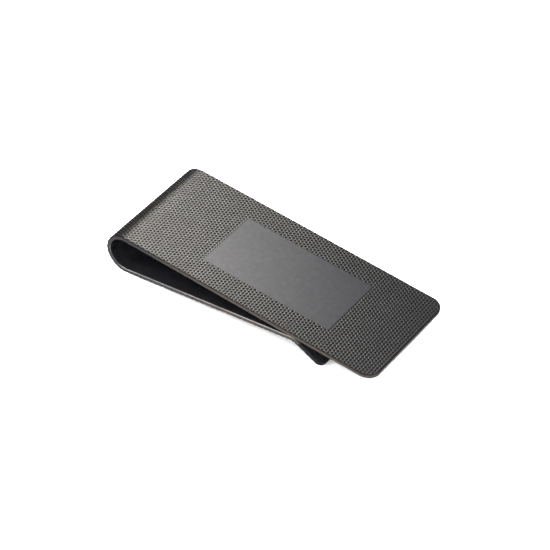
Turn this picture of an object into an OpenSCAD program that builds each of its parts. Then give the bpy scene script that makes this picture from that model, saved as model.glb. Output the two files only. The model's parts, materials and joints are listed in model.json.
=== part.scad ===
// Money clip bent from one strip of sprung sheet metal.
//
// The strip runs from the open end of the front leaf, round the bend at the closed end, along the
// back leaf, over the crest that grips the notes, and down the flared lip that lets them in.
// It lies on the lowest line of the bend and on the tip of the lip, with the front leaf on top.
// +X points to the open end, +Y across the strip, +Z up. Millimetres.
//
// The strip is one piece that flexes. It is made here of its stretches, each an exact solid in its
// own node. The front leaf springs open on a hinge half way round the bend, on the outer face.

/* [Sheet] */
// Width of the strip
strip_w = 22.2; // [16:0.1:30]
// Thickness of the sheet
sheet_t = 0.8; // [0.5:0.05:1.2]

/* [Closed end] */
// Outside radius of the bend
bend_r = 3.87; // [2.6:0.01:6]

/* [Front leaf] */
// Length of the front leaf, from the axis of the bend to the open end
front_l = 50.5; // [46:0.1:62]
// Corner radius at the open end
front_corner_r = 2.4; // [0.5:0.1:6]

/* [Engraving panel] */
// Length of the plain panel
panel_l = 25.7; // [10:0.1:28]
// Width of the plain panel
panel_w = 13.1; // [6:0.1:15]
// Distance from the panel to the open end
panel_end_margin = 11.8; // [6:0.1:16]
// Depth of the panel's own layer
panel_t = 0.2; // [0.1:0.05:0.3]

/* [Grip] */
// Distance from the axis of the bend to the line where the crest meets the front leaf
crest_x = 34.6; // [28:0.2:38]
// Radius of the crest, on the side that meets the notes
crest_r = 4; // [1.6:0.1:5]
// Clearance between the crest and the front leaf when the clip is closed
crest_gap = 0.05; // [0.02:0.01:0.3]
// Length of the straight part of the lip
lip_l = 5.35; // [3:0.05:7]
// Angle of the lip to the front leaf
lip_angle = 24; // [12:1:35]
// Corner radius of the lip
lip_corner_r = 1.4; // [0.4:0.1:3]

/* [Hinge] */
// Clearance between the two halves of the bend
flex_gap = 0.02; // [0.01:0.01:0.05]

/* [Hidden] */
$fn = 96;

GUNMETAL = [0.36, 0.36, 0.37];
SATIN = [0.50, 0.50, 0.51];

// A cut that goes clear through the sheet stands this far past both faces.
past = 1;

// Radii of the strip's two faces at the bend and at the crest.
inner_r = bend_r - sheet_t;
crest_under_r = crest_r - sheet_t;

// The crest's axis, measured from the axis of the bend. The crest's top lies crest_gap under the
// front leaf, whose underside is inner_r above the axis of the bend.
crest_axis_z = inner_r - crest_gap - crest_r;

// The back leaf's inner face is a line that touches both the bend's inner circle, from below, and
// the crest's circle, from above. back_angle is its rise towards the front leaf.
axes_apart = sqrt(crest_x * crest_x + crest_axis_z * crest_axis_z);
back_angle = atan2(crest_axis_z, crest_x) + asin((inner_r + crest_r) / axes_apart);
back_l = sqrt(axes_apart * axes_apart - pow(inner_r + crest_r, 2));

// The bend's angles are measured at its axis, from +X towards +Z. The hinge is half way round.
bend_start = 90;
bend_end = 270 + back_angle;
hinge_angle = (bend_start + bend_end) / 2;
flex_half_angle = (flex_gap / 2) / bend_r * 180 / PI;

// The lower edge of the lip's tip, which the clip lies on.
tip_x = crest_x + crest_under_r * sin(lip_angle) + lip_l * cos(lip_angle);
tip_z = crest_axis_z + crest_under_r * cos(lip_angle) - lip_l * sin(lip_angle);

// The clip lies on a line that touches the bend from below and meets the tip, so the front leaf
// comes down towards the open end by rest_angle.
rest_angle = atan2(tip_z, tip_x) + asin(bend_r / sqrt(tip_x * tip_x + tip_z * tip_z));

// Half way along the clip as it lies, from the axis of the bend.
mid_x = (front_l * cos(rest_angle) + bend_r * sin(rest_angle) - bend_r) / 2;

// From the strip's own frame, which has its origin on the axis of the bend and its X along the
// front leaf, to the clip as it lies, with the origin at the centre of its base.
module lay_down() {
    translate([-mid_x, 0, bend_r])
        rotate([0, rest_angle, 0])
            children();
}

// A flat stretch of the strip from x = 0 to l, with its outer face at z = 0 and its body below.
// The two corners at the far end are rounded.
module flat_strip(l, corner_r) {
    translate([0, 0, -sheet_t])
        linear_extrude(sheet_t) {
            translate([0, -strip_w / 2])
                square([l - corner_r, strip_w]);
            translate([0, corner_r - strip_w / 2])
                square([l, strip_w - 2 * corner_r]);
            for (side = [-1, 1])
                translate([l - corner_r, side * (strip_w / 2 - corner_r)])
                    circle(corner_r);
        }
}

// A stretch of the strip bent round the Y axis, from one angle to another, measured from +X
// towards +Z. Its faces have radii low_r and low_r + sheet_t.
module bent_strip(low_r, from_angle, to_angle) {
    rotate([90, 0, 0])
        rotate([0, 0, from_angle])
            rotate_extrude(angle = to_angle - from_angle)
                translate([low_r, -strip_w / 2])
                    square([sheet_t, strip_w]);
}

// The panel's outline in the front leaf, drawn from the outer face down.
module panel_block(depth) {
    translate([front_l - panel_end_margin - panel_l, -panel_w / 2, bend_r - depth])
        cube([panel_l, panel_w, depth]);
}

// The patterned plate on top, with room for the panel.
module front_leaf() {
    color(GUNMETAL)
        lay_down()
            difference() {
                translate([0, 0, bend_r])
                    flat_strip(front_l, front_corner_r);
                translate([0, 0, past])
                    panel_block(panel_t + past);
            }
}

// The plain satin panel, flush with the front leaf's outer face.
module engraving_panel() {
    color(SATIN)
        lay_down()
            panel_block(panel_t);
}

// The half of the bend that moves with the front leaf.
module bend_front_half() {
    color(GUNMETAL)
        lay_down()
            bent_strip(inner_r, bend_start, hinge_angle - flex_half_angle);
}

// The half of the bend that stays with the back leaf.
module bend_back_half() {
    color(GUNMETAL)
        lay_down()
            bent_strip(inner_r, hinge_angle + flex_half_angle, bend_end);
}

// The straight stretch from the bend up to the crest.
module back_leaf() {
    color(GUNMETAL)
        lay_down()
            rotate([0, -back_angle, 0])
                translate([0, -strip_w / 2, -bend_r])
                    cube([back_l, strip_w, sheet_t]);
}

// The rounded crest that presses on the notes.
module grip_crest() {
    color(GUNMETAL)
        lay_down()
            translate([crest_x, 0, crest_axis_z])
                bent_strip(crest_under_r, 90 - lip_angle, 90 + back_angle);
}

// The flared lip at the end of the back leaf.
module entry_lip() {
    color(GUNMETAL)
        lay_down()
            translate([crest_x, 0, crest_axis_z])
                rotate([0, lip_angle, 0])
                    translate([0, 0, crest_r])
                        flat_strip(lip_l, lip_corner_r);
}

front_leaf();
engraving_panel();
bend_front_half();
bend_back_half();
back_leaf();
grip_crest();
entry_lip();
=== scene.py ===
"""The looks of a money clip bent from one strip of sprung sheet metal.

The strip is drawn flat first, with a pattern of dimples pressed into its outer face and a border
cut clean through it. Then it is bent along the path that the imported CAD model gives, and cut into
the pieces that ride on the CAD bodies. Everything is in metres, in the CAD model's frame.

On the flat sheet, a place has three numbers: s along the strip from the open end of the front leaf,
y across the strip, and n out of the sheet from its middle layer.
"""

import json
import math
from dataclasses import dataclass

import bpy
import numpy as np
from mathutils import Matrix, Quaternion, Vector


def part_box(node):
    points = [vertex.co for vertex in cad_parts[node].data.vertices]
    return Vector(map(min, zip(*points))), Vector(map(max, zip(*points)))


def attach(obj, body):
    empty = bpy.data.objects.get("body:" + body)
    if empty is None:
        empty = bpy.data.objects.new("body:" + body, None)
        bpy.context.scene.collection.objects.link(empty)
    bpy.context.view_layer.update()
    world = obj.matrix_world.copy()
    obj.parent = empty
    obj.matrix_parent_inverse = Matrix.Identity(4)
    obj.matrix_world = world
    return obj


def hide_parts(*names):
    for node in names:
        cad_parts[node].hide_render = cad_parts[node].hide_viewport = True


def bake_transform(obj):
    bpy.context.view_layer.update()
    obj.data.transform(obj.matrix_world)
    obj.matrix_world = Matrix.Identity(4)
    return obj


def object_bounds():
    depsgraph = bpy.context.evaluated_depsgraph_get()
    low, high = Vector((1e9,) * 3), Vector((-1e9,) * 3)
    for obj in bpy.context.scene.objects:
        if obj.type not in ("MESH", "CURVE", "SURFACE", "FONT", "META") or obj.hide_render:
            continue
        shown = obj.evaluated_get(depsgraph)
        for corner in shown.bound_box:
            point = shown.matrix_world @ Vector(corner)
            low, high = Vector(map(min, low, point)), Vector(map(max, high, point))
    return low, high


MM = 0.001

# Sizes that the CAD model's boxes don't give, the same as in its source.
CREST_R = 4 * MM  # crest's radius on the side that meets the notes
LIP_ANGLE = math.radians(24)  # lip to front leaf
FRONT_CORNER_R = 2.4 * MM
LIP_CORNER_R = 1.4 * MM

# The pressed pattern: columns of dimples across the strip, every other one half a pitch along.
PITCH = 0.65 * MM  # from dimple to dimple in a column
COLUMN = 0.5487 * MM  # from column to column
PATTERN_START = 0.14 * MM  # from the open end to the first column
PATTERN_SIDE = 0.405 * MM  # from the middle of the strip to the first dimple of that column
STEPS = 6  # mesh steps in a pitch and in a column
PIT_DEPTH = 0.08 * MM
PIT_SHARPNESS = 2.2  # higher for a narrower pit
BOSS_HEIGHT = 0.03 * MM
BOSS_SHARPNESS = 3  # higher for a narrower boss
SLOPE_STEP = 0.002 * MM  # how far on each side the relief is compared for its slope

# The leaves lean softly into the bend, in the shading alone.
ROLL = 0.07  # greatest slope
ROLL_REACH = 1.6 * MM

# The cut edge.
OUTER_ARRIS = 0.10 * MM  # radius of the arris at the outer face
INNER_ARRIS = 0.12 * MM  # and at the inner face
ARRIS_TURNS = (90, 60, 30)  # degrees round an arris, from the sheet's face to its edge
EDGE_BULGE = 0.015 * MM  # how far the middle of the edge stands out
EDGE_TILTS = (10, 2, -4)  # degrees that the edge leans up at its top, middle and bottom
CORNER_TURNS = (0, 5, 10, 15, 20)  # degrees round a corner that get a mesh column of their own

INNER_ROWS = 12  # mesh rows across the plain inner face
MERGE_SHARE = 0.3  # a mesh line this near a fixed one, in steps, is left out

# The panel.
PANEL_BEVEL = 0.02 * MM
PANEL_COLUMNS = 52  # mesh lines along it and across it
PANEL_ROWS = 27

# The materials of a piece of the strip, in order.
PRESSED, EDGE, INNER, ARRIS = range(4)

UV_GAP = 0.8 * MM  # between patches in the UV map
WELD = 1e-4 * MM  # points closer than this are one


# ------------------------------------------------------------------ the frame

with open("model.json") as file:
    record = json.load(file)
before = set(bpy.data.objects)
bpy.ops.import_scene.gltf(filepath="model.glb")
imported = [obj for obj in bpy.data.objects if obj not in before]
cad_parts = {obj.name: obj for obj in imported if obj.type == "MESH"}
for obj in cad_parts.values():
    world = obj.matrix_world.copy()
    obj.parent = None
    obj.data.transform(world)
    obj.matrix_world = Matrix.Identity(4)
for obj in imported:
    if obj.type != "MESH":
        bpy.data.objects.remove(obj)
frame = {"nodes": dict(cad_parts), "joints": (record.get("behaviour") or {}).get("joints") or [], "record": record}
cad_low, cad_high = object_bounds()


def reach(node, direction):
    """Lowest and highest place of a CAD node's points along a direction."""
    points = np.array([v.co for v in frame["nodes"][node].data.vertices])
    places = points @ direction
    return places.min(), places.max()


def mount_axis(name):
    """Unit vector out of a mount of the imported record."""
    mount = next(m for m in frame["record"]["mounts"] if m["name"] == name)
    return np.array(mount["axis"])


face_up = mount_axis("engraving_face")  # out of the front leaf
outward = np.array([face_up[2], 0, -face_up[0]])  # along the front leaf, to the open end

leaf_start, leaf_end = reach("front_leaf", outward)
leaf_under, leaf_top = reach("front_leaf", face_up)
strip_w = 2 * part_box("front_leaf")[1].y
sheet_t = leaf_top - leaf_under
front_l = leaf_end - leaf_start

# The hinge lies on the bend's outer face, half way round, so it fixes the bend's radius and turn.
hinge = np.array(frame["joints"][0]["pos_m"])
hinge_back = leaf_start - hinge @ outward
hinge_down = leaf_top - hinge @ face_up
bend_r = (hinge_back**2 + hinge_down**2) / (2 * hinge_down)
bend_turn = 2 * math.atan2(hinge_back, bend_r - hinge_down)
crest_turn = math.pi - bend_turn - LIP_ANGLE  # the other way round, so negative


def turned(angle):
    """The strip's heading and outward normal where it has turned by an angle from its start."""
    heading = -outward * math.cos(angle) - face_up * math.sin(angle)
    normal = face_up * math.cos(angle) - outward * math.sin(angle)
    return heading, normal


def length_along(node, angle):
    """Length of a straight CAD node along the strip's heading."""
    low, high = reach(node, turned(angle)[0])
    return high - low


back_l = length_along("back_leaf", bend_turn)
lip_l = length_along("entry_lip", bend_turn + crest_turn)

panel_near_bend, panel_near_tip = reach("engraving_panel", outward)
panel_start = leaf_end - panel_near_tip
panel_end = leaf_end - panel_near_bend
panel_w = 2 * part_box("engraving_panel")[1].y
panel_low, panel_high = reach("engraving_panel", face_up)
panel_t = panel_high - panel_low


# ------------------------------------------------------------------ bending the flat sheet


@dataclass
class Stretch:
    """A stretch of the strip's middle line that is straight or bent to one radius."""

    begin: float
    length: float
    turn: float
    at: np.ndarray
    heading: np.ndarray
    normal: np.ndarray

    @property
    def end(self):
        return self.begin + self.length

    def place(self, s):
        """Points of the middle line, and the headings and normals there."""
        along = (s - self.begin)[:, None]
        if self.turn == 0:
            return self.at + along * self.heading, self.heading + 0 * along, self.normal + 0 * along
        curvature = self.turn / self.length
        angle = along * curvature
        heading = self.heading * np.cos(angle) - self.normal * np.sin(angle)
        normal = self.normal * np.cos(angle) + self.heading * np.sin(angle)
        bow = self.heading * np.sin(angle) - self.normal * (1 - np.cos(angle))
        return self.at + bow / curvature, heading, normal


def strip_path():
    """The stretches of the strip from the open end of the front leaf to the tip of the lip."""
    middle_bend_r = bend_r - sheet_t / 2
    middle_crest_r = CREST_R - sheet_t / 2
    plan = {
        "front_leaf": (front_l, 0),
        "bend": (middle_bend_r * bend_turn, bend_turn),
        "back_leaf": (back_l, 0),
        "grip_crest": (-middle_crest_r * crest_turn, crest_turn),
        "entry_lip": (lip_l, 0),
    }
    at = outward * leaf_end + face_up * (leaf_top - sheet_t / 2)
    heading, normal = turned(0)
    begin = 0
    path = {}
    for name, (length, turn) in plan.items():
        stretch = Stretch(begin, length, turn, at, heading, normal)
        path[name] = stretch
        ends, headings, normals = stretch.place(np.array([stretch.end]))
        at, heading, normal = ends[0], headings[0], normals[0]
        begin = stretch.end
    return path


PATH = strip_path()


def bend_sheet(flat, flat_normals):
    """Points and normals of the flat sheet (s, y, n), bent along the path."""
    points = np.zeros_like(flat)
    normals = np.zeros_like(flat)
    across = np.array([0, 1, 0])
    stretches = list(PATH.values())
    starts = [stretch.begin for stretch in stretches[1:]]
    which = np.searchsorted(starts, flat[:, 0], side="right")
    for index, stretch in enumerate(stretches):
        here = which == index
        middle, heading, normal = stretch.place(flat[here, 0])
        points[here] = middle + flat[here, 1:2] * across + flat[here, 2:3] * normal
        tilt = flat_normals[here]
        normals[here] = tilt[:, 0:1] * heading + tilt[:, 1:2] * across + tilt[:, 2:3] * normal
    return points, normals


# ------------------------------------------------------------------ the pressed pattern


def lattice_waves(s, y):
    """Phases of the three waves whose crests cross at each dimple."""
    column = (s - PATTERN_START) / COLUMN
    row = (y - PATTERN_SIDE) / PITCH
    return [2 * np.pi * wave for wave in (column, row - column / 2, -row - column / 2)]


def dimple_share(s, y):
    """1 in the middle of a dimple, and 0 half way between three of them."""
    crests = sum(np.cos(wave) for wave in lattice_waves(s, y))
    return np.clip((crests + 1.5) / 4.5, 0, 1)


def boss_share(s, y):
    """1 on the boss next to each dimple, towards the open end, and 0 at the dimple."""
    crests = sum(np.sin(wave) for wave in lattice_waves(s, y))
    return np.clip(crests / (1.5 * math.sqrt(3)), 0, 1)


def relief(s, y):
    """Height of the pressed face over the plain sheet."""
    boss = BOSS_HEIGHT * boss_share(s, y) ** BOSS_SHARPNESS
    pit = PIT_DEPTH * dimple_share(s, y) ** PIT_SHARPNESS
    return boss - pit


def relief_painted_light(s, y):
    """0 at the bottom of a dimple, a half on the land and 1 on a boss, for the plating's colour: painted shade in
    the dimples and a painted highlight on the bosses.
    """
    boss = 0.5 * boss_share(s, y) ** BOSS_SHARPNESS
    pit = 0.5 * dimple_share(s, y) ** PIT_SHARPNESS
    return 0.5 + boss - pit


def roll_slope(s):
    """Slope of the shading where a leaf leans into the bend, so that the bend starts softly."""
    front, back = PATH["bend"].begin, PATH["bend"].end
    lean = np.exp(-(((s - front) / ROLL_REACH) ** 2)) - np.exp(-(((s - back) / ROLL_REACH) ** 2))
    return -ROLL * lean


def relief_normals(s, y):
    """Unit normals of the pressed face on the flat sheet."""
    step = SLOPE_STEP
    slope_s = (relief(s + step, y) - relief(s - step, y)) / (2 * step) + roll_slope(s)
    slope_y = (relief(s, y + step) - relief(s, y - step)) / (2 * step)
    normals = np.stack([-slope_s, -slope_y, np.ones_like(s)], axis=1)
    return normals / np.linalg.norm(normals, axis=1, keepdims=True)


# ------------------------------------------------------------------ patches of surface


class Surface:
    """Patches of the flat sheet, which become one closed mesh with a normal for each corner."""

    def __init__(self):
        self.flat, self.normals, self.shade, self.uv = [], [], [], []
        self.faces, self.materials = [], []
        self.count = 0
        self.shelf = 0  # where the next patch goes in the UV map

    def add(self, flat, normals, faces, material, uv, shade=None):
        """Adds a patch: its points, their normals, its faces (lists of its own points), its UVs."""
        self.flat.append(flat)
        self.normals.append(normals)
        self.shade.append(np.full(len(flat), 0.5) if shade is None else shade)
        uv = uv - uv.min(axis=0)
        self.uv.append(uv + [0, self.shelf])
        self.shelf += uv[:, 1].max() + UV_GAP
        middle = faces[len(faces) // 2]
        loop = flat[middle] - flat[middle[0]]
        facing = np.cross(loop, np.roll(loop, -1, axis=0)).sum(axis=0)
        # (s, y, n) is left-handed on the clip, so a face that looks right here is turned round.
        turn = -1 if facing @ normals[middle[0]] > 0 else 1
        self.faces += [[corner + self.count for corner in face[::turn]] for face in faces]
        self.materials += [material] * len(faces)
        self.count += len(flat)

    def build(self, name, materials):
        """One welded mesh object, bent along the path."""
        points, normals = bend_sheet(np.concatenate(self.flat), np.concatenate(self.normals))
        shade = np.concatenate(self.shade)
        uv = np.concatenate(self.uv)
        grid = np.round(points / WELD)
        _, first, weld = np.unique(grid, axis=0, return_index=True, return_inverse=True)
        weld = weld.ravel()
        corners, slots, faces = [], [], []
        for face, material in zip(self.faces, self.materials):
            before = face[-1:] + face[:-1]
            kept = [corner for corner, last in zip(face, before) if weld[corner] != weld[last]]
            if len(kept) > 2:
                corners += kept
                slots.append(material)
                faces.append([int(weld[corner]) for corner in kept])
        used = np.unique(np.concatenate(faces))
        number = {int(old): new for new, old in enumerate(used)}
        faces = [[number[corner] for corner in face] for face in faces]
        mesh = bpy.data.meshes.new(name)
        mesh.from_pydata(points[first][used].tolist(), [], faces, shade_flat=False)
        for material in materials:
            mesh.materials.append(material)
        mesh.polygons.foreach_set("material_index", slots)
        layer = mesh.uv_layers.new(name="OFBake")
        layer.data.foreach_set("uv", (uv[corners] / uv.max()).ravel())
        # Painted shade and painted highlight by relief, for the pressed metal's colour.
        attribute = mesh.attributes.new("relief", "FLOAT", "CORNER")
        attribute.data.foreach_set("value", shade[corners])
        mesh.normals_split_custom_set(normals[corners].tolist())
        obj = bpy.data.objects.new(name, mesh)
        bpy.context.scene.collection.objects.link(obj)
        return obj


def merged(fixed, regular):
    """All the fixed places, and the regular ones that aren't right beside one of them, in order."""
    fixed = np.unique(fixed)
    apart = MERGE_SHARE * (regular[1] - regular[0])
    clear = [place for place in regular if np.abs(fixed - place).min() > apart]
    return np.unique(np.concatenate([fixed, clear]))


def steps_between(low, high, step):
    """The multiples of a step from low to high."""
    return np.arange(math.ceil(low / step), math.floor(high / step) + 1) * step


def quads(columns, rows):
    """Faces of a grid of points that are stored column by column."""
    starts = np.arange(columns - 1)[:, None] * rows + np.arange(rows - 1)
    starts = starts.ravel()
    return np.stack([starts, starts + rows, starts + rows + 1, starts + 1], axis=1).tolist()


# Mesh rows across the strip, the same on every piece, so that the pieces meet point to point.
ROW_EDGE = strip_w / 2 - OUTER_ARRIS
ROWS = merged(
    [-ROW_EDGE, -panel_w / 2, panel_w / 2, ROW_EDGE],
    steps_between(-ROW_EDGE, ROW_EDGE, PITCH / STEPS),
)
PLAIN_ROWS = ROWS[np.linspace(0, len(ROWS) - 1, INNER_ROWS + 1).round().astype(int)]


class Blank:
    """The flat outline of a piece: a length of the strip, with one rounded end or none."""

    def __init__(self, begin, end, tip=None, corner_r=0.0, fixed=()):
        """tip is None, "begin" or "end": the end that is rounded and open."""
        self.begin, self.end, self.tip, self.corner_r = begin, end, tip, corner_r
        self.toward_tip = {"begin": -1, "end": 1, None: 0}[tip]
        places = [*fixed]
        if tip != "begin":
            places.append(begin)
        if tip != "end":
            places.append(end)
        if tip:
            turn = np.radians(CORNER_TURNS)
            back = corner_r - (corner_r - OUTER_ARRIS) * np.cos(turn)
            tip_place = begin if tip == "begin" else end
            places += (tip_place - self.toward_tip * back).tolist()
        regular = steps_between(begin, end, COLUMN / STEPS)
        self.columns = merged(places, regular)
        inside = (self.columns >= min(places)) & (self.columns <= max(places))
        self.columns = self.columns[inside]

    def corner_cos(self):
        """Cosine of the corner's turn at each column, 1 at the tip and 0 at the straight side."""
        if not self.tip:
            return np.zeros_like(self.columns)
        tip_place = self.begin if self.tip == "begin" else self.end
        from_tip = np.abs(self.columns - tip_place)
        return np.clip((self.corner_r - from_tip) / (self.corner_r - OUTER_ARRIS), 0, 1)

    def half_widths(self):
        """Half the width between the rims at each column."""
        corner_sin = np.sqrt(1 - self.corner_cos() ** 2)
        return strip_w / 2 - self.corner_r + (self.corner_r - OUTER_ARRIS) * corner_sin

    def rims(self):
        """The rims of the cut edge, each as places s and y and its direction outwards."""
        cos = self.corner_cos()
        sin = np.sqrt(1 - cos**2)
        found = []
        for side in (-1, 1):
            out = np.stack([self.toward_tip * cos, side * sin], axis=1)
            found.append((self.columns, side * self.half_widths(), out))
        if self.tip:
            column = 0 if self.tip == "begin" else -1
            width = self.half_widths()[column]
            y = np.unique(np.clip(ROWS, -width, width))
            out = np.tile([float(self.toward_tip), 0.0], (len(y), 1))
            found.append((np.full(len(y), self.columns[column]), y, out))
        return found


def pressed_face(surface, blank, hole=None):
    """The outer face with its dimples, from rim to rim, with the hole left open."""
    width = blank.half_widths()[:, None]
    s = np.repeat(blank.columns, len(ROWS))
    y = np.clip(ROWS, -width, width).ravel()
    flat = np.stack([s, y, sheet_t / 2 + relief(s, y)], axis=1)
    faces = quads(len(blank.columns), len(ROWS))
    if hole:
        middle = flat[np.array(faces)].mean(axis=1)
        inside = (middle[:, 0] > hole[0]) & (middle[:, 0] < hole[1]) & (abs(middle[:, 1]) < hole[2])
        faces = [face for face, gone in zip(faces, inside) if not gone]
    surface.add(flat, relief_normals(s, y), faces, PRESSED, flat[:, :2], relief_painted_light(s, y))


def ribbon(surface, rim, profile, material, shade=None):
    """A band of faces along a rim. Each row of the profile is how far out, how high, and a tilt."""
    s, y, out = rim
    run = np.concatenate([[0], np.cumsum(np.hypot(np.diff(s), np.diff(y)))])
    flat, normals, uv = [], [], []
    depth = 0
    for out_by, height, tilt in profile:
        height = height + np.zeros_like(s)
        flat.append(np.column_stack([s + out_by * out[:, 0], y + out_by * out[:, 1], height]))
        unit = out / np.linalg.norm(out, axis=1, keepdims=True)
        normals.append(np.column_stack([unit * math.cos(tilt), np.full(len(s), math.sin(tilt))]))
        uv.append(np.column_stack([run, np.full(len(s), depth)]))
        depth += sheet_t / len(profile)
    faces = quads(len(profile), len(s))
    flat, normals, uv = np.concatenate(flat), np.concatenate(normals), np.concatenate(uv)
    surface.add(flat, normals, faces, material, uv, shade)


def edge_profile(top):
    """The cut edge from a rim down: its upper arris, its face and its lower arris."""
    bottom = -sheet_t / 2
    upper, lower = [], []
    for angle in np.radians(ARRIS_TURNS):
        fall = OUTER_ARRIS * (1 - math.sin(angle))
        upper.append((OUTER_ARRIS * math.cos(angle), top - fall, angle))
    heights = (sheet_t / 2 - OUTER_ARRIS, 0, bottom + INNER_ARRIS)
    bulges = (OUTER_ARRIS - EDGE_BULGE, OUTER_ARRIS, OUTER_ARRIS - EDGE_BULGE)
    face = list(zip(bulges, heights, np.radians(EDGE_TILTS)))
    for angle in np.radians(ARRIS_TURNS[::-1]):
        out_by = OUTER_ARRIS - INNER_ARRIS * (1 - math.cos(angle))
        lower.append((out_by, bottom + INNER_ARRIS * (1 - math.sin(angle)), -angle))
    return upper + face[:1], face, face[-1:] + lower


def cut_edge(surface, blank):
    """The bare edge round a piece. Its upper arris takes the pits' painted shade, as a painted dark line along the
    rim.
    """
    for rim in blank.rims():
        upper, face, lower = edge_profile(sheet_t / 2 + relief(rim[0], rim[1]))
        # Painted shade: the upper arris gets the colour of the bottom of a pit.
        ribbon(surface, rim, upper, PRESSED, np.zeros(len(upper) * len(rim[0])))
        ribbon(surface, rim, face, EDGE)
        # The lower arris carries the arris metal's painted highlight.
        ribbon(surface, rim, lower, ARRIS)


def plain_face(surface, s, widths, height, up, material, rows=PLAIN_ROWS, fine=(False, False)):
    """A plain face between two rims, in strips. At a fine end it has a point at each mesh row."""
    y = np.clip(rows, -widths[:, None], widths[:, None])
    flat = np.column_stack([np.repeat(s, len(rows)), y.ravel(), np.full(y.size, height)])
    faces = quads(len(s), len(rows))
    for at_end, is_fine in zip((False, True), fine):
        if is_fine:
            flat, faces = with_fine_end(flat, faces, s, widths, rows, at_end)
    normals = np.tile([0.0, 0.0, 1.0 if up else -1.0], (len(flat), 1))
    surface.add(flat, normals, faces, material, flat[:, :2])


def with_fine_end(flat, faces, s, widths, rows, at_end):
    """The same face, with every mesh row's point on the edge of its first or last strip."""
    column = len(s) - 1 if at_end else 0
    width, height = widths[column], flat[0, 2]
    cells = len(rows) - 1
    first = (len(s) - 2) * cells if at_end else 0
    added, count = [], len(flat)
    for cell in range(cells):
        low, high = np.clip(rows[cell : cell + 2], -width, width)
        between = [y for y in ROWS if low + WELD < y < high - WELD]
        new = list(range(count, count + len(between)))
        count += len(between)
        added += [(s[column], y, height) for y in between]
        a, b, c, d = faces[first + cell]
        faces[first + cell] = [a, b, *new, c, d] if at_end else [a, b, c, d, *new[::-1]]
    return np.concatenate([flat, np.array(added).reshape(-1, 3)]), faces


def inner_face(surface, blank):
    """The plain inner face."""
    inwards = OUTER_ARRIS - INNER_ARRIS
    cos = blank.corner_cos()
    s = blank.columns + inwards * blank.toward_tip * cos
    widths = blank.half_widths() + inwards * np.sqrt(1 - cos**2)
    fine = (blank.tip == "begin", blank.tip == "end")
    plain_face(surface, s, widths, -sheet_t / 2, False, INNER, fine=fine)


def edge_outline(top):
    """The cut edge in the plane of a seam, between its rim and the inner face, as (y, n)."""
    upper, face, lower = edge_profile(top)
    return [(ROW_EDGE + out_by, height) for out_by, height, _ in upper[1:-1] + face + lower[1:-1]]


def seam_cap(surface, blank, place):
    """The hidden end of a piece where it meets the next."""
    top = sheet_t / 2 + relief(np.full(len(ROWS), place), ROWS)
    outline = list(zip(ROWS, top))
    right = edge_outline(top[-1])
    left = [(-y, height) for y, height in edge_outline(top[0])]
    inner_width = ROW_EDGE + OUTER_ARRIS - INNER_ARRIS
    bottom = [(y, -sheet_t / 2) for y in np.clip(PLAIN_ROWS, -inner_width, inner_width)]
    outline += right + bottom[::-1] + left[::-1]
    y, n = np.array(outline).T
    flat = np.column_stack([np.full(len(y), place), y, n])
    outward_s = -1.0 if place == blank.begin else 1.0
    normals = np.tile([outward_s, 0.0, 0.0], (len(flat), 1))
    surface.add(flat, normals, [list(range(len(flat)))], EDGE, flat[:, 1:])


def rectangle_rims(begin, end, width, columns, rows, side):
    """The four rims of a rectangle, with mitred corners. side is 1 to face outwards, -1 inwards."""
    mitre_s = np.where(columns == columns[0], -side, np.where(columns == columns[-1], side, 0.0))
    mitre_y = np.where(rows == rows[0], -side, np.where(rows == rows[-1], side, 0.0))
    found = []
    for sign, place in ((-side, begin), (side, end)):
        out = np.column_stack([np.full(len(rows), float(sign)), mitre_y])
        found.append((np.full(len(rows), place), rows, out))
    for sign in (-1, 1):
        out = np.column_stack([mitre_s, np.full(len(columns), float(sign * side))])
        found.append((columns, np.full(len(columns), sign * width / 2), out))
    return found


def panel_pocket(surface, blank):
    """The shallow pocket in the front leaf that holds the panel."""
    within = (blank.columns >= panel_start) & (blank.columns <= panel_end)
    columns = blank.columns[within]
    rows = ROWS[np.abs(ROWS) <= panel_w / 2]
    floor = sheet_t / 2 - panel_t
    for rim in rectangle_rims(panel_start, panel_end, panel_w, columns, rows, -1):
        top = sheet_t / 2 + relief(rim[0], rim[1])
        ribbon(surface, rim, [(0, top, 0), (0, floor, 0)], EDGE)
    widths = np.full(len(columns), panel_w / 2)
    plain_face(surface, columns, widths, floor, True, INNER, rows[[0, -1]], (True, True))


# ------------------------------------------------------------------ the pieces


def strip_piece(name, begin, end, materials, tip=None, corner_r=0.0, pocket=False):
    """A length of the strip as a closed solid."""
    fixed = [panel_start, panel_end] if pocket else []
    blank = Blank(begin, end, tip, corner_r, fixed)
    surface = Surface()
    pressed_face(surface, blank, (panel_start, panel_end, panel_w / 2) if pocket else None)
    inner_face(surface, blank)
    cut_edge(surface, blank)
    if pocket:
        panel_pocket(surface, blank)
    for place, is_tip in ((begin, tip == "begin"), (end, tip == "end")):
        if not is_tip:
            seam_cap(surface, blank, place)
    return surface.build(name, materials)


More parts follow.
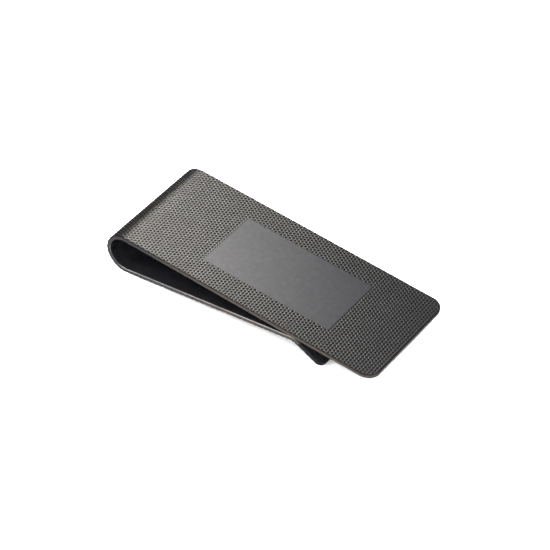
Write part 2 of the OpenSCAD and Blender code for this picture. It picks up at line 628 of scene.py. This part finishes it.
def engraving_plate(material):
    """The plain panel, with a fine bevel round its face."""
    columns = np.linspace(panel_start + PANEL_BEVEL, panel_end - PANEL_BEVEL, PANEL_COLUMNS)
    rows = np.linspace(-1, 1, PANEL_ROWS) * (panel_w / 2 - PANEL_BEVEL)
    top = sheet_t / 2
    flat = np.column_stack([np.repeat(columns, len(rows)), np.tile(rows, len(columns))])
    surface = Surface()
    faces = quads(len(columns), len(rows))
    for height, up in ((top, 1.0), (top - panel_t, -1.0)):
        points = np.column_stack([flat, np.full(len(flat), height)])
        normals = np.tile([0.0, 0.0, up], (len(flat), 1))
        surface.add(points, normals, faces, 0, flat)
    profile = [
        (0, top, math.radians(90)),
        (PANEL_BEVEL, top - PANEL_BEVEL, 0),
        (PANEL_BEVEL, top - panel_t + PANEL_BEVEL, 0),
        (0, top - panel_t, math.radians(-90)),
    ]
    width = panel_w - 2 * PANEL_BEVEL
    for rim in rectangle_rims(columns[0], columns[-1], width, columns, rows, 1):
        ribbon(surface, rim, profile, 0)
    return surface.build("engraving_panel_satin", [material])


# ------------------------------------------------------------------ materials

# The pressed face's colours by relief: painted shade in the pits and on their walls, the land's own gunmetal, and
# a painted highlight on the bosses.
PIT_PAINTED_SHADE = (0.012, 0.011, 0.010)
PIT_WALL_PAINTED_SHADE = (0.029, 0.0275, 0.0265)
LAND_COLOUR = (0.078, 0.077, 0.076)
BOSS_PAINTED_HIGHLIGHT = (0.200, 0.198, 0.196)
SATIN_DARK = (0.085, 0.085, 0.089)
SATIN_LIGHT = (0.097, 0.097, 0.102)
EDGE_GREY = (0.150, 0.150, 0.157)
EDGE_BRONZE = (0.270, 0.228, 0.198)
# The inner face's near-black: painted shade of the inside of the clip.
INNER_PAINTED_SHADE_DARK = (0.007, 0.007, 0.009)
INNER_PAINTED_SHADE_LIGHT = (0.011, 0.011, 0.013)
# The inner arris's colour: a painted highlight line, lighter in patches.
ARRIS_HIGHLIGHT_LOW = (0.40, 0.39, 0.38)
ARRIS_HIGHLIGHT_HIGH = (0.60, 0.59, 0.57)

# Roughness where a material's own pattern is at its lowest and at its highest.
PRESSED_ROUGHNESS = (0.36, 0.20)  # in the pits and on the bosses
SATIN_ROUGHNESS = (0.34, 0.42)
EDGE_ROUGHNESS = (0.16, 0.24)
ARRIS_ROUGHNESS = (0.34, 0.22)
INNER_ROUGHNESS = (0.50, 0.42)

# The inner face is only partly metallic, and reflects little, so that it stays as dark as its painted shade.
INNER_METALLIC = 0.2
INNER_SPECULAR = 0.2

# How much longer the noise is along X, Y and Z, for marks that run along the strip.
EDGE_MARKS = (12, 12, 1)
FACE_MARKS = (14, 1, 14)


def metal(name):
    """A metallic material, with its node tree and its shader."""
    material = bpy.data.materials.new(name)
    material.use_nodes = True
    tree = material.node_tree
    shader = tree.nodes["Principled BSDF"]
    shader.inputs["Metallic"].default_value = 1.0
    return material, tree, shader


def noise(tree, size, detail=3.0, stretch=(1, 1, 1)):
    """Noise from 0 to 1, with features of about a size, stretched along the clip's axes."""
    place = tree.nodes.new("ShaderNodeTexCoord")
    mapping = tree.nodes.new("ShaderNodeMapping")
    mapping.inputs["Scale"].default_value = [1 / (size * factor) for factor in stretch]
    texture = tree.nodes.new("ShaderNodeTexNoise")
    texture.inputs["Scale"].default_value = 1.0
    texture.inputs["Detail"].default_value = detail
    tree.links.new(place.outputs["Object"], mapping.inputs["Vector"])
    tree.links.new(mapping.outputs["Vector"], texture.inputs["Vector"])
    return texture.outputs["Fac"]


def ramp(tree, value, stops):
    """A colour that runs through stops of (place, colour) as a value goes from 0 to 1."""
    node = tree.nodes.new("ShaderNodeValToRGB")
    elements = node.color_ramp.elements
    while len(elements) < len(stops):
        elements.new(0.5)
    for element, (place, colour) in zip(elements, stops):
        element.position = place
        element.color = (*colour, 1.0)
    tree.links.new(value, node.inputs["Fac"])
    return node.outputs["Color"]


def spread(tree, value, low, high):
    """A value from 0 to 1 taken to a range."""
    node = tree.nodes.new("ShaderNodeMapRange")
    node.inputs["To Min"].default_value = low
    node.inputs["To Max"].default_value = high
    tree.links.new(value, node.inputs["Value"])
    return node.outputs["Result"]


def product(tree, colour, value):
    """A colour made lighter or darker by a value around 1."""
    node = tree.nodes.new("ShaderNodeVectorMath")
    node.operation = "SCALE"
    tree.links.new(colour, node.inputs["Vector"])
    tree.links.new(value, node.inputs["Scale"])
    return node.outputs["Vector"]


def sum_of(tree, first, second):
    """Two values added."""
    node = tree.nodes.new("ShaderNodeMath")
    node.operation = "ADD"
    tree.links.new(first, node.inputs[0])
    tree.links.new(second, node.inputs[1])
    return node.outputs["Value"]


def bump(tree, shader, height, distance, strength=1.0):
    """Raises the surface by a height from 0 to 1, times a distance in metres."""
    node = tree.nodes.new("ShaderNodeBump")
    node.inputs["Strength"].default_value = strength
    node.inputs["Distance"].default_value = distance
    tree.links.new(height, node.inputs["Height"])
    tree.links.new(node.outputs["Normal"], shader.inputs["Normal"])


def pressed_metal():
    """Gunmetal plating over the dimples, with painted shade in them and a painted highlight on the bosses."""
    material, tree, shader = metal("pressed_gunmetal")
    relief_value = tree.nodes.new("ShaderNodeAttribute")
    relief_value.attribute_name = "relief"
    # Painted shade in the pits, the land's own colour, and a painted highlight on the bosses.
    stops = [(0.0, PIT_PAINTED_SHADE), (0.25, PIT_WALL_PAINTED_SHADE), (0.5, LAND_COLOUR), (1.0, BOSS_PAINTED_HIGHLIGHT)]
    colour = ramp(tree, relief_value.outputs["Fac"], stops)
    cloud = spread(tree, noise(tree, 6 * MM), 0.9, 1.1)
    tree.links.new(product(tree, colour, cloud), shader.inputs["Base Color"])
    by_relief = spread(tree, relief_value.outputs["Fac"], *PRESSED_ROUGHNESS)
    by_cloud = spread(tree, noise(tree, 2 * MM), -0.03, 0.03)
    tree.links.new(sum_of(tree, by_relief, by_cloud), shader.inputs["Roughness"])
    bump(tree, shader, noise(tree, 0.06 * MM, 2.0), 0.002 * MM)
    return material


def satin_metal():
    """The panel's plain satin plating, with a fine blasted grain."""
    material, tree, shader = metal("satin_gunmetal")
    mottle = ramp(tree, noise(tree, 0.9 * MM, 4.0), [(0.3, SATIN_DARK), (0.7, SATIN_LIGHT)])
    cloud = spread(tree, noise(tree, 7 * MM), 0.95, 1.05)
    tree.links.new(product(tree, mottle, cloud), shader.inputs["Base Color"])
    rough = spread(tree, noise(tree, 0.5 * MM, 4.0), *SATIN_ROUGHNESS)
    tree.links.new(rough, shader.inputs["Roughness"])
    bump(tree, shader, noise(tree, 0.12 * MM, 4.0), 0.004 * MM)
    return material


def edge_metal():
    """The cut edge, ground along the strip, with a bronze tint here and there."""
    material, tree, shader = metal("ground_edge")
    place = tree.nodes.new("ShaderNodeTexCoord")
    split = tree.nodes.new("ShaderNodeSeparateXYZ")
    tree.links.new(place.outputs["Object"], split.inputs["Vector"])
    along = spread(tree, split.outputs["X"], 0.0, 0.9)
    along.node.inputs["From Min"].default_value = cad_low.x
    along.node.inputs["From Max"].default_value = 0.0
    patchy = sum_of(tree, along, spread(tree, noise(tree, 9 * MM), -0.25, 0.25))
    tint = ramp(tree, patchy, [(0.2, EDGE_GREY), (0.8, EDGE_BRONZE)])
    lines = spread(tree, noise(tree, 0.08 * MM, 2.0, EDGE_MARKS), 0.85, 1.15)
    tree.links.new(product(tree, tint, lines), shader.inputs["Base Color"])
    rough = spread(tree, noise(tree, 1.2 * MM), *EDGE_ROUGHNESS)
    tree.links.new(rough, shader.inputs["Roughness"])
    bump(tree, shader, noise(tree, 0.08 * MM, 2.0, EDGE_MARKS), 0.002 * MM)
    return material


def arris_metal():
    """The arris of the inner face, with a painted highlight along it, lighter in patches."""
    material, tree, shader = metal("painted_highlight_arris")
    highlight_mottle = noise(tree, 3 * MM, 4.0)
    colour = ramp(tree, highlight_mottle, [(0.35, ARRIS_HIGHLIGHT_LOW), (0.65, ARRIS_HIGHLIGHT_HIGH)])
    tree.links.new(colour, shader.inputs["Base Color"])
    tree.links.new(spread(tree, highlight_mottle, *ARRIS_ROUGHNESS), shader.inputs["Roughness"])
    bump(tree, shader, noise(tree, 0.10 * MM), 0.002 * MM)
    return material


def inner_metal():
    """The inner face, near-black: painted shade of the inside of the clip, with faint rubbing along the strip."""
    material, tree, shader = metal("dark_inner_face")
    shader.inputs["Metallic"].default_value = INNER_METALLIC
    shader.inputs["Specular IOR Level"].default_value = INNER_SPECULAR
    rubbing = noise(tree, 0.25 * MM, 3.0, FACE_MARKS)
    colour = ramp(tree, rubbing, [(0.3, INNER_PAINTED_SHADE_DARK), (0.8, INNER_PAINTED_SHADE_LIGHT)])
    tree.links.new(colour, shader.inputs["Base Color"])
    tree.links.new(spread(tree, rubbing, *INNER_ROUGHNESS), shader.inputs["Roughness"])
    bump(tree, shader, noise(tree, 0.15 * MM), 0.003 * MM)
    return material


# ------------------------------------------------------------------ the clip

pressed, edge, inner, arris = pressed_metal(), edge_metal(), inner_metal(), arris_metal()
STRIP_MATERIALS = [pressed, edge, inner, arris]
# The lip's edge and lower arris are near-black with the inner face's painted shade.
LIP_MATERIALS = [pressed, inner, inner, inner]  # the lip's edge and lower arris take the inner face's near-black painted shade


def finished(piece, slot, body, *nodes):
    """A piece that rides on one body and stands for its CAD nodes."""
    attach(piece, body)
    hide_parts(*nodes)
    return piece


def place_of(name):
    """Where a stretch of the strip begins and ends."""
    return PATH[name].begin, PATH[name].end


front = strip_piece(
    "front_leaf_sheet", *place_of("front_leaf"), STRIP_MATERIALS, "begin", FRONT_CORNER_R, pocket=True
)
finished(front, "patterned_sheet", "front_leaf", "front_leaf")
finished(engraving_plate(satin_metal()), "satin_panel", "front_leaf", "engraving_panel")

for name in ("back_leaf", "grip_crest"):
    piece = strip_piece(name + "_sheet", *place_of(name), STRIP_MATERIALS)
    finished(piece, "patterned_sheet", "back_leaf", name)
lip = strip_piece("entry_lip_sheet", *place_of("entry_lip"), LIP_MATERIALS, "end", LIP_CORNER_R)
finished(lip, "patterned_sheet", "back_leaf", "entry_lip")

# The bend is attached to no body; its place is baked into its points. Its ends, with their whole thickness, lie
# beyond the blend's span.
bend = strip_piece("sprung_bend_sheet", *place_of("bend"), STRIP_MATERIALS)
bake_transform(bend)
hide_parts("bend_front_half", "bend_back_half")


# ------------------------------------------------------------------ floor, lights and camera

CAMERA_AZIMUTH = math.radians(35.22)
CAMERA_ELEVATION = math.radians(41.87)
CAMERA_ROLL = math.radians(0.43)
CAMERA_DISTANCE = 420.55 * MM
CAMERA_LENS = 163.344
CAMERA_SENSOR = 36  # width, which like the lens is in mm
CAMERA_CLIP = (0.01, 10)
CAMERA_AIM = Vector((0.17, -0.09, -0.19)) * MM

# The table, in metres: flat to FLOOR_R, then a quarter round up into the wall.
FLOOR_R = 1.0
FLOOR_RINGS = (0.02, 0.5, 1.0)  # shares of FLOOR_R that get a ring of points
SWEEP_R = 0.4
SWEEP_STEPS = 9
WALL_H = 2.5
FLOOR_SIDES = 48
FLOOR_COLOUR = (0.93, 0.93, 0.93, 1)
FLOOR_ROUGHNESS = 0.9

WHITE = (1, 1, 1)
WARM = (1.0, 0.970, 0.920)
COOL = (0.80, 0.87, 1.0)

# Each softbox: azimuth and elevation in degrees; distance, width and height in mm; radiance; colour.
SOFTBOXES = {
    "key": (213, 54, 130, 30, 90, 3.2, WARM),
    "strip": (231, 46, 130, 18, 90, 12.5, WARM),
    "cool_fill": (186, 52, 200, 80, 80, 0.9, COOL),
    "front_fill": (325, 38, 250, 160, 230, 2.5, WHITE),
    "right_fill": (45, 20, 350, 260, 160, 1.2, WHITE),
    "back_fill": (130, 20, 350, 260, 160, 1.0, WHITE),
    "left_fill": (285, 20, 350, 200, 160, 1.0, WHITE),
}
FLOOR_WASH = 6.0  # radiance
FLOOR_WASH_SPREAD = math.radians(110)

# The room's light by height, as (z, radiance): lit below the horizon, dark walls, a dim ceiling.
ROOM = [
    (-1.0, 0.05),
    (-0.88, 0.10),
    (-0.74, 0.60),
    (-0.55, 0.50),
    (-0.35, 0.30),
    (0.0, 0.22),
    (0.2, 0.06),
    (0.6, 0.03),
    (1.0, 0.40),
]


def direction(azimuth, elevation):
    """Unit vector to a place round the clip. Azimuth 0 is in front of it, at -Y, and 90 is at +X."""
    return Vector(
        (
            math.sin(azimuth) * math.cos(elevation),
            -math.cos(azimuth) * math.cos(elevation),
            math.sin(elevation),
        )
    )


clip_middle = Vector((cad_low + cad_high) / 2)


def softbox(name, azimuth, elevation, distance, width, height, brightness, colour):
    """A softbox that faces the clip, with its sizes in mm. brightness is its radiance."""
    width, height = width * MM, height * MM
    light = bpy.data.lights.new(name, "AREA")
    light.shape = "RECTANGLE"
    light.size, light.size_y = width, height
    light.energy = brightness * math.pi * width * height
    light.color = colour
    obj = bpy.data.objects.new(name, light)
    towards = direction(math.radians(azimuth), math.radians(elevation))
    obj.location = clip_middle + distance * MM * towards
    obj.rotation_mode = "QUATERNION"
    obj.rotation_quaternion = towards.to_track_quat("Z", "Y")
    obj.visible_camera = False
    bpy.context.scene.collection.objects.link(obj)


def pale_floor():
    """A matt white table that sweeps up into a wall all round, and doesn't show in reflections."""
    turns = np.radians(np.linspace(0, 90, SWEEP_STEPS + 1))[1:]
    profile = [(FLOOR_R * share, 0.0) for share in FLOOR_RINGS]
    profile += [(FLOOR_R + SWEEP_R * math.sin(t), SWEEP_R * (1 - math.cos(t))) for t in turns]
    profile.append((FLOOR_R + SWEEP_R, WALL_H))
    points = [(0.0, 0.0, 0.0)]
    for radius, height in profile:
        for turn in np.arange(FLOOR_SIDES) * 2 * np.pi / FLOOR_SIDES:
            points.append((radius * math.cos(turn), radius * math.sin(turn), height))
    faces = [(0, 1 + k, 1 + (k + 1) % FLOOR_SIDES) for k in range(FLOOR_SIDES)]
    for ring in range(len(profile) - 1):
        low = 1 + ring * FLOOR_SIDES
        high = low + FLOOR_SIDES
        for k in range(FLOOR_SIDES):
            after = (k + 1) % FLOOR_SIDES
            faces.append((low + k, high + k, high + after, low + after))
    mesh = bpy.data.meshes.new("floor")
    mesh.from_pydata(points, [], faces, shade_flat=False)
    mesh.materials.append(floor_material())
    floor = bpy.data.objects.new("floor", mesh)
    floor.visible_glossy = False
    bpy.context.scene.collection.objects.link(floor)


def floor_material():
    """Matt white."""
    material = bpy.data.materials.new("pale_floor")
    material.use_nodes = True
    shader = material.node_tree.nodes["Principled BSDF"]
    shader.inputs["Base Color"].default_value = FLOOR_COLOUR
    shader.inputs["Roughness"].default_value = FLOOR_ROUGHNESS
    shader.inputs["Specular IOR Level"].default_value = 0.0
    return material


def floor_wash():
    """Wide, even light from overhead, for the table above all: it doesn't show in reflections."""
    light = bpy.data.lights.new("floor_wash", "SUN")
    light.angle = FLOOR_WASH_SPREAD
    light.energy = FLOOR_WASH * math.pi
    obj = bpy.data.objects.new("floor_wash", light)
    obj.visible_glossy = False
    bpy.context.scene.collection.objects.link(obj)


def dim_room():
    """A plain dim room, its light given by height alone."""
    world = bpy.data.worlds.new("studio")
    world.use_nodes = True
    tree = world.node_tree
    place = tree.nodes.new("ShaderNodeTexCoord")
    split = tree.nodes.new("ShaderNodeSeparateXYZ")
    tree.links.new(place.outputs["Generated"], split.inputs["Vector"])
    height = spread(tree, split.outputs["Z"], 0.0, 1.0)
    height.node.inputs["From Min"].default_value = -1.0
    sky = ramp(tree, height, [((z + 1) / 2, (light, light, light)) for z, light in ROOM])
    tree.links.new(sky, tree.nodes["Background"].inputs["Color"])
    bpy.context.scene.world = world


def camera():
    """The camera at the viewing angle, tipped a little about its own axis."""
    data = bpy.data.cameras.new("camera")
    data.lens = CAMERA_LENS
    data.sensor_width = CAMERA_SENSOR
    data.clip_start, data.clip_end = CAMERA_CLIP
    obj = bpy.data.objects.new("camera", data)
    towards = direction(CAMERA_AZIMUTH, CAMERA_ELEVATION)
    obj.location = clip_middle + CAMERA_AIM + towards * CAMERA_DISTANCE
    obj.rotation_mode = "QUATERNION"
    level = towards.to_track_quat("Z", "Y")
    obj.rotation_quaternion = level @ Quaternion((0, 0, 1), CAMERA_ROLL)
    bpy.context.scene.collection.objects.link(obj)
    bpy.context.scene.camera = obj


pale_floor()
dim_room()
camera()
floor_wash()
for name, plan in SOFTBOXES.items():
    softbox(name, *plan)
bpy.context.scene.view_settings.view_transform = "Standard"
